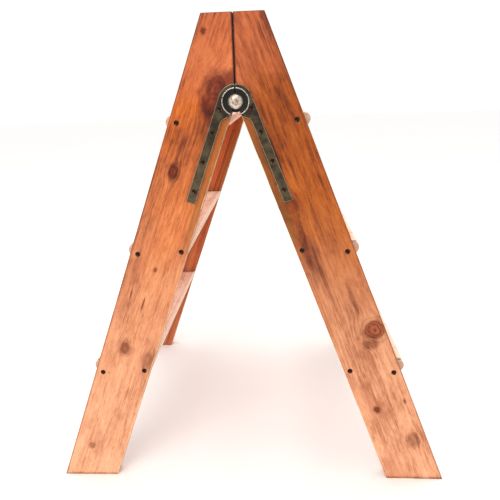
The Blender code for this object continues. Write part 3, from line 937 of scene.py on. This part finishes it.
def strap_screw_places(side):
    return [leg_point(side, along, LEAF_RADIUS - STRAP_WIDTH / 2) for along in STRAP_SCREWS]


def strap_hole_cutters(side, end):
    return [hole_cutter("strap", *place, end) for place in strap_screw_places(side)]


def tread_screw_places(side):
    """(tread's number, which screw, its place) for the screws through one side board."""
    for number, (low, high) in enumerate(TREAD_BOXES):
        middle = (low.z + high.z) / 2
        x = edge_x(SETBACK + BOARD_WIDTH - OUTER_SCREW_INSET, middle)
        yield number, "outer", (side * x, middle - PIN.z)
        if number:
            lifted = middle + INNER_SCREW_LIFT
            x = edge_x(SETBACK + INNER_SCREW_INSET, lifted)
            yield number, "inner", (side * x, lifted - PIN.z)


# Hinges


LEAF_EDGE = 0.0013
EYE_STEPS = 40
FILLET_STEPS = 14
NOTCH_STEPS = 16
STRAP_CORNER = 0.0012


def leaf_outline(side):
    """A leaf as (x, z) points: half an eye, a strap, the fillet between them, and a notch for the pin."""
    seam = SEAM + GAP
    edge = SETBACK + GAP
    inner = LEAF_RADIUS - STRAP_WIDTH
    top = math.degrees(math.acos(seam / LEAF_RADIUS))
    eye = [(side * x, z) for x, z in arc((0.0, 0.0), LEAF_RADIUS, top, LEG_DEGREES, EYE_STEPS)]
    strap = [
        leg_point(side, STRAP_LENGTH - STRAP_CORNER, LEAF_RADIUS),
        leg_point(side, STRAP_LENGTH, LEAF_RADIUS - STRAP_CORNER),
        leg_point(side, STRAP_LENGTH, inner + STRAP_CORNER),
        leg_point(side, STRAP_LENGTH - STRAP_CORNER, inner),
    ]
    turn = math.acos(1 - (inner - edge) / FILLET_RADIUS)
    fillet = []
    for a in spread(0.0, turn, FILLET_STEPS):
        across = inner - FILLET_RADIUS * (1 - math.cos(a))
        along = EYE_LOWER_END + FILLET_RADIUS * (math.sin(turn) - math.sin(a))
        fillet.append(leg_point(side, along, across))
    low = math.degrees(math.asin(edge / PIN_HOLE)) - 90 + LEG_DEGREES
    high = math.degrees(math.acos(seam / PIN_HOLE))
    notch = [(side * x, z) for x, z in arc((0.0, 0.0), PIN_HOLE, low, high, NOTCH_STEPS)]
    return [*eye, *strap, *fillet, *notch]


DISH_FOOT = ((0.0, 0.0009), (0.0003, 0.0003), (0.001, 0.0))  # (inwards, up) round the foot of its wall
RIB_SINK = 0.0008  # from the board up to the rib's foot, inside the leaf
RIB_ROUND = 0.0012
RIB_ROUND_STEPS = 6
RIB_FOOT = 0.0017
RIB_FOOT_SINK = 0.0002
RIB_SHORT_TOP = 0.4  # degrees short of the seam,
RIB_SHORT_FOOT = 4.5  # and of the board's inner edge
FLAT_MARGIN = 0.0002


def dish_cutter(side, end):
    """The sunk middle of an eye, with a rounded foot to its wall."""
    above = HALF_DEPTH + RIB_CREST + CUT_PAST
    floor = HALF_DEPTH + EYE_FLOOR
    foot = [(DISH_RADIUS - inwards, floor + up) for inwards, up in DISH_FOOT]
    profile = [(0.0, above), (DISH_RADIUS, above), *foot, (0.0, floor)]
    return turned("dish", profile, side, end, steps=96)


def eye_rib(side, end):
    """The raised rib round an eye, round on top."""
    foot = HALF_DEPTH + RIB_SINK
    crest = HALF_DEPTH + RIB_CREST
    round_top = arc((RIB_RADIUS, crest - RIB_ROUND), RIB_ROUND, 180, 0, RIB_ROUND_STEPS)
    outside = RIB_RADIUS + RIB_FOOT
    profile = [(RIB_RADIUS - RIB_ROUND, foot), *round_top,
               (outside, HALF_DEPTH + LEAF_THICKNESS - RIB_FOOT_SINK), (outside, foot)]
    start = math.degrees(math.acos((SEAM + 2 * GAP) / RIB_RADIUS)) - RIB_SHORT_TOP
    stop = LEG_DEGREES - 90 + RIB_SHORT_FOOT
    return mark_wear(turned("rib", profile, side, end, 72, start, stop))


def leaf(end_name, side_name):
    """A cast hinge leaf: half an eye with a raised rib, its strap, and its knuckle behind."""
    side, end = SIDES[side_name], ENDS[end_name]
    name = f"iron_leaf_{end_name}_{side_name}"
    obj = plate(name, leaf_outline(side), HALF_DEPTH + GAP, HALF_DEPTH + LEAF_THICKNESS, end)
    round_edges(obj, LEAF_EDGE)
    mark_wear(obj)
    combine(obj, [dish_cutter(side, end), *strap_hole_cutters(side, end)], "DIFFERENCE")
    combine(obj, [eye_rib(side, end), *knuckle(side_name, end)], "UNION")
    dull_flats(obj, LEAF_RADIUS - 2 * LEAF_EDGE, HALF_DEPTH + LEAF_THICKNESS + FLAT_MARGIN)
    finish_piece(obj, f"hinge_leaf_{end_name}_{side_name}", IRON, END_ORIGIN[end_name])


KNUCKLE_RADIUS = {"left": 0.014, "right": 0.019}
WALL_INSIDE = {"left": PIN_HOLE, "right": 0.0152}  # the right wall passes round the left ring
WALL_OVERLAP = 0.0005
WALL_INSET = 0.0002
WALL_SHORT_TOP = 3  # degrees short of the seam,
WALL_SHORT_FOOT = 8  # and of the board's inner edge


def knuckle(side_name, end):
    """The ring that holds a leaf on the bolt, and the half wall that joins it to the leaf's back."""
    side = SIDES[side_name]
    inside, radius = WALL_INSIDE[side_name], KNUCKLE_RADIUS[side_name]
    high = HALF_DEPTH - GAP
    if side_name == "right":
        high = HALF_DEPTH - KNUCKLE_THICKNESS - 2 * GAP
    low = high - KNUCKLE_THICKNESS
    ring = [(PIN_HOLE, high), (radius, high), (radius, low), (PIN_HOLE, low)]
    start = math.degrees(math.acos((SEAM + GAP) / inside)) - WALL_SHORT_TOP
    stop = LEG_DEGREES - 90 + WALL_SHORT_FOOT
    wall_low, wall_high = high - WALL_OVERLAP, HALF_DEPTH + EYE_FLOOR - WALL_OVERLAP
    near, far = inside + WALL_INSET, radius - WALL_INSET
    wall = [(near, wall_high), (far, wall_high), (far, wall_low), (near, wall_low)]
    ring = turned("ring", ring, side, end, steps=56)
    return ring, turned("wall", wall, side, end, 40, start, stop)


DOME_STEPS = 28
TURNED_RING_DEPTH = 0.00045
TURNED_RING_RADIUS = 0.003
TURNED_RING_WIDTH = 0.0006
HEAD_FOOT = ((0.0002, 0.0006), (0.0002, 0.0002), (0.0006, 0.0))  # (inwards, up) round its foot
THREAD_PITCH = 0.001
THREAD_DEPTH = 0.0006
THREAD_SHAPE = (0.35, 0.5, 0.85)  # where a turn's root starts and stops, and where its full radius is back
TAIL_CHAMFER = 0.001


def domed_head(seat):
    """A bolt head's half outline, with a small turned ring at its middle."""
    dome = (HEAD_RADIUS**2 + HEAD_HEIGHT**2) / (2 * HEAD_HEIGHT)
    reach = math.asin(HEAD_RADIUS / dome)
    crown = seat + HEAD_HEIGHT
    profile = []
    for i in range(DOME_STEPS):
        angle = reach * i / DOME_STEPS
        radius = dome * math.sin(angle)
        groove = TURNED_RING_DEPTH * math.exp(-(((radius - TURNED_RING_RADIUS) / TURNED_RING_WIDTH) ** 2))
        profile.append((radius, crown - dome * (1 - math.cos(angle)) - groove))
    return profile + [(HEAD_RADIUS - inwards, seat + up) for inwards, up in HEAD_FOOT]


def bolt(end_name):
    """The hinge bolt, with a low domed head and a thread from the board's inside to its tail."""
    seat = HALF_DEPTH + EYE_FLOOR + GAP
    tail = BOLT_BOX[0].y
    thread_start = HALF_DEPTH - BOARD_THICKNESS
    root = PIN_RADIUS - THREAD_DEPTH
    start, stop, back = THREAD_SHAPE
    profile = [*domed_head(seat), (PIN_RADIUS, seat), (PIN_RADIUS, thread_start)]
    for i in range(int((thread_start - tail - TAIL_CHAMFER) / THREAD_PITCH)):
        level = thread_start - THREAD_PITCH * i
        profile += [(root, level - THREAD_PITCH * start), (root, level - THREAD_PITCH * stop),
                    (PIN_RADIUS, level - THREAD_PITCH * back), (PIN_RADIUS, level - THREAD_PITCH)]
    profile += [(PIN_RADIUS - TAIL_CHAMFER, tail), (0.0, tail)]
    obj = turned(f"domed_bolt_{end_name}", profile, 1, ENDS[end_name], steps=72)
    finish_piece(obj, "hinge_bolt_" + end_name, NICKEL, END_ORIGIN[end_name])


WASHER_EDGE = 0.0003


def washer(end_name):
    low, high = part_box("hinge_washer_rear")
    radius = (high.x - low.x) / 2
    inside, edge = PIN_RADIUS + GAP, WASHER_EDGE
    inner = [(inside, low.y + edge), (inside, high.y - edge), (inside + edge, high.y)]
    outer = [(radius - edge, high.y), (radius, high.y - edge), (radius, low.y + edge), (radius - edge, low.y)]
    profile = [*inner, *outer, (inside + edge, low.y)]
    obj = turned(f"bolt_washer_{end_name}", profile, 1, ENDS[end_name], steps=64)
    finish_piece(obj, "hinge_washer_" + end_name, ZINC, END_ORIGIN[end_name])


NUT_SLOPE = 0.0012
NUT_FACE_EASE = 0.0004
NUT_CORNER_PAST = 0.0002
MOUTH_RISE = 0.001
MOUTH_FLARE = 0.002


def nut(end_name):
    """A hexagon nut with its corners turned off on both faces, and a bore that opens at both ends."""
    end = ENDS[end_name]
    low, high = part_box("hinge_nut_rear")
    corner = (high.x - low.x) / 2
    hexagon = arc((0.0, 0.0), corner, 0, 300, 5)
    obj = plate(f"bolt_nut_{end_name}", hexagon, low.y, high.y, end)
    face = corner * math.cos(math.pi / 6) - NUT_FACE_EASE
    outside = corner + NUT_CORNER_PAST
    turning = [(0.0, low.y), (face, low.y), (outside, low.y + NUT_SLOPE), (outside, high.y - NUT_SLOPE),
               (face, high.y), (0.0, high.y)]
    combine(obj, [turned("turning", turning, 1, end, steps=72)], "INTERSECT")
    bore = PIN_RADIUS + GAP
    mouth = bore + MOUTH_FLARE
    drill = [(0.0, low.y - MOUTH_RISE), (mouth, low.y - MOUTH_RISE), (bore, low.y + MOUTH_RISE),
             (bore, high.y - MOUTH_RISE), (mouth, high.y + MOUTH_RISE), (0.0, high.y + MOUTH_RISE)]
    combine(obj, [turned("drill", drill, 1, end, steps=48)], "DIFFERENCE")
    finish_piece(obj, "hinge_nut_" + end_name, ZINC, END_ORIGIN[end_name])


# The materials of each piece


UPPER_LEFT = tones((0.135, 0.02, 0.002), (0.46, 0.094, 0.01), (0.66, 0.18, 0.034))
UPPER_RIGHT = tones((0.095, 0.014, 0.001), (0.33, 0.066, 0.005), (0.48, 0.13, 0.018))
LOWER = tones((0.4, 0.13, 0.055), (0.75, 0.335, 0.175), (0.84, 0.465, 0.27))
TREAD_TONES = tones((0.5, 0.22, 0.14), (0.8, 0.45, 0.33), (0.88, 0.66, 0.53))
SAWN_BOARD = colour(0.24, 0.085, 0.04)
SAWN_TREAD = colour(0.66, 0.43, 0.31)
FADE = {"left": (-0.02, -0.72), "right": (-0.16, -0.7)}  # the stain is palest at the feet


def board_wood(side_name, end_name, seed, upper, pith, knots):
    """A side board's timber. The pith's place is measured from the middle of the board's thickness."""
    turn = ("Y_AXIS", SIDES[side_name] * LEG_ANGLE)
    name = f"{end_name}_{side_name}_wood"
    return wood(name, seed, turn, (upper, LOWER), knots, pith, SAWN_BOARD, FADE[side_name], ENDS[end_name])


BOARD_WOOD = {
    ("front", "left"): board_wood("left", "front", 1.0, UPPER_LEFT, (-0.03, -0.085), [
        Knot(-0.089, 0.0957, 0.004, 0.9, 0.55, 1.3),
        Knot(-0.039, 0.011, 0.015, 0.6, 1.00, 1.4),
        Knot(-0.026, 0.035, 0.01, 0.0, 0.95, 1.0),
        Knot(-0.04, -0.021, 0.0095, 0.0, 0.95, 1.6),
        Knot(-0.0693, -0.1549, 0.0085, 0.85, 0.75, 1.3),
        Knot(-0.049, -0.345, 0.003, 0.7, 0.35, 1.2),
        Knot(-0.0609, -0.5187, 0.008, 0.55, 0.6, 1.4),
        Knot(-0.0112, -0.5278, 0.0085, 0.0, 0.55, 1.6),
        Knot(-0.0684, -0.7498, 0.005, 0.55, 0.45, 1.2),
        Knot(-0.0773, -0.58, 0.0011, 1.0, 0.2, 1.0),
        Knot(-0.078, 0.142, 0.0012, 0.9, 0.5, 14.0),
        Knot(-0.052, -0.418, 0.0013, 0.9, 0.6, 9.0),
        Knot(-0.079, -0.408, 0.001, 0.9, 0.5, 9.0),
    ]),
    ("front", "right"): board_wood("right", "front", 2.0, UPPER_RIGHT, (0.075, -0.1), [
        Knot(0.0219, -0.207, 0.012, 0.35, 0.6, 1.3),
        Knot(0.0839, -0.4888, 0.0165, 0.9, 0.35, 1.05),
        Knot(0.07, -0.514, 0.009, 0.0, 0.65, 0.8),
        Knot(0.0325, -0.6478, 0.005, 0.85, 0.65, 1.1),
        Knot(0.0764, -0.7326, 0.009, 0.0, 0.6, 1.2),
        Knot(0.0117, -0.162, 0.0018, 0.9, 0.4, 1.0),
        Knot(0.088, -0.648, 0.002, 0.5, 0.5, 2.0),
        Knot(0.012, -0.235, 0.01, 0.0, 0.8, 3.0),
        Knot(0.03, -0.108, 0.0026, 0.0, 0.8, 12.0),
        Knot(0.017, -0.29, 0.004, 0.0, 0.85, 11.0),
        Knot(0.03, -0.36, 0.0022, 0.0, 0.75, 16.0),
        Knot(0.056, -0.25, 0.0024, 0.0, 0.6, 14.0),
        Knot(0.066, -0.42, 0.003, 0.0, 0.7, 8.0),
        Knot(0.09, -0.15, 0.002, 0.0, 0.55, 16.0),
    ]),
    ("rear", "left"): board_wood("left", "rear", 3.0, UPPER_RIGHT, (-0.05, 0.09), [
        Knot(-0.062, -0.11, 0.009, 0.8, 0.6, 1.2),
        Knot(-0.025, -0.39, 0.006, 0.8, 0.5, 1.3),
        Knot(-0.08, -0.61, 0.011, 0.6, 0.5, 1.1),
        Knot(-0.03, -0.72, 0.004, 0.9, 0.4, 1.3),
    ]),
    ("rear", "right"): board_wood("right", "rear", 4.0, UPPER_LEFT, (0.03, 0.12), [
        Knot(0.07, 0.05, 0.007, 0.8, 0.6, 1.2),
        Knot(0.04, -0.26, 0.012, 0.6, 0.6, 1.2),
        Knot(0.082, -0.43, 0.005, 0.9, 0.5, 1.3),
        Knot(0.03, -0.68, 0.009, 0.7, 0.5, 1.2),
    ]),
}


TREAD_KNOTS = 3
FIRST_TREAD_KNOT = -0.2
TREAD_KNOT_PITCH = 0.17


def tread_wood(side_name, number):
    """Tread timber with a few knots of its own, strewn along it."""
    draw = random.Random(number * 2 + (side_name == "right"))
    knots = []
    for i in range(TREAD_KNOTS):
        across = draw.uniform(-0.045, 0.045)
        along = FIRST_TREAD_KNOT + TREAD_KNOT_PITCH * i + draw.uniform(-0.05, 0.05)
        knots.append(Knot(across, along, draw.uniform(0.003, 0.007), draw.uniform(0.5, 0.9), 0.45, 1.3))
    seed = 5.0 + number * 2 + (side_name == "right")
    pith = (draw.uniform(-0.03, 0.03), draw.choice((-1, 1)) * draw.uniform(0.06, 0.1))
    turn = ("X_AXIS", math.pi / 2)
    name = f"tread_wood_{side_name}_{number}"
    return wood(name, seed, turn, (TREAD_TONES,), knots, pith, SAWN_TREAD)


TREAD_WOOD = {(side, number): tread_wood(side, number) for side in SIDES for number in range(3)}
IRON = iron()
NICKEL = bright_metal("nickel_look", colour(0.64, 0.58, 0.5), colour(0.3, 0.18, 0.11), 0.2)
ZINC = bright_metal("zinc_look", colour(0.55, 0.54, 0.52), colour(0.32, 0.26, 0.2), 0.3)
SCREW_LOOK = dark_steel()


def build_ladder():
    draw = random.Random(12)
    for end_name, end in ENDS.items():
        for side_name, side in SIDES.items():
            board(end_name, side_name)
            leaf(end_name, side_name)
            for number, (x, z) in enumerate(strap_screw_places(side), 1):
                label = f"{end_name}_{side_name}_{number}"
                turn = draw.uniform(0, math.pi)
                screw("countersunk_screw_" + label, "strap_screw_" + label, "strap", x, z, end, turn)
            for number, which, (x, z) in tread_screw_places(side):
                label = f"{end_name}_{side_name}_{TREAD_NAMES[number]}_{which}"
                turn = draw.uniform(0, math.pi)
                screw("step_screw_" + label, "tread_screw_" + label, "tread", x, z, end, turn)
        bolt(end_name)
        washer(end_name)
        nut(end_name)
    for side_name in SIDES:
        for number in range(len(TREAD_NAMES)):
            tread(side_name, number)


# Floor, light and camera


def area_light(name, place, aim, size, watts, tint):
    light = bpy.data.lights.new(name, "AREA")
    light.shape = "DISK"
    light.size = size
    light.energy = watts
    light.color = tint
    obj = new_object(name, light)
    obj.location = place
    obj.rotation_euler = (Vector(aim) - Vector(place)).to_track_quat("-Z", "Y").to_euler()


def studio():
    shape = bmesh.new()
    bmesh.ops.create_grid(shape, x_segments=24, y_segments=24, size=12.0)
    mesh = bpy.data.meshes.new("floor")
    shape.to_mesh(mesh)
    shape.free()
    floor = new_object("floor", mesh)
    mesh.materials.append(pale_floor())
    area_light("key", (-0.9, -2.4, 2.6), (0.0, 0.0, 0.5), size=2.2, watts=38.0, tint=(1.0, 0.985, 0.96))
    area_light("overhead", (0.3, 0.4, 3.0), (0.0, 0.0, 0.4), size=2.6, watts=30.0, tint=(1.0, 1.0, 1.0))
    world = bpy.data.worlds.new("studio_white")
    world.use_nodes = True
    background = world.node_tree.nodes["Background"].inputs
    background["Color"].default_value = colour(1.0, 0.995, 0.985)
    background["Strength"].default_value = 1.06
    bpy.context.scene.world = world
    bpy.context.scene.view_settings.view_transform = "Standard"


CAMERA_PLACE = Vector((0.07661, -1.15599, 0.77303))
CAMERA_YAW = math.radians(3.646)
CAMERA_PITCH = math.radians(-10.765)
CAMERA_ROLL = math.radians(-1.943)
LENS = 36.05
SENSOR = 36.0
SHIFT_UP = -0.135


def camera():
    data = bpy.data.cameras.new("camera")
    data.sensor_width = SENSOR
    data.lens = LENS
    data.shift_y = SHIFT_UP
    data.clip_start = 0.01
    obj = new_object("camera", data)
    level = Matrix.Rotation(CAMERA_YAW, 4, "Z") @ Matrix.Rotation(math.pi / 2 + CAMERA_PITCH, 4, "X")
    obj.matrix_world = Matrix.Translation(CAMERA_PLACE) @ level @ Matrix.Rotation(CAMERA_ROLL, 4, "Z")
    bpy.context.scene.camera = obj


build_ladder()
studio()
camera()
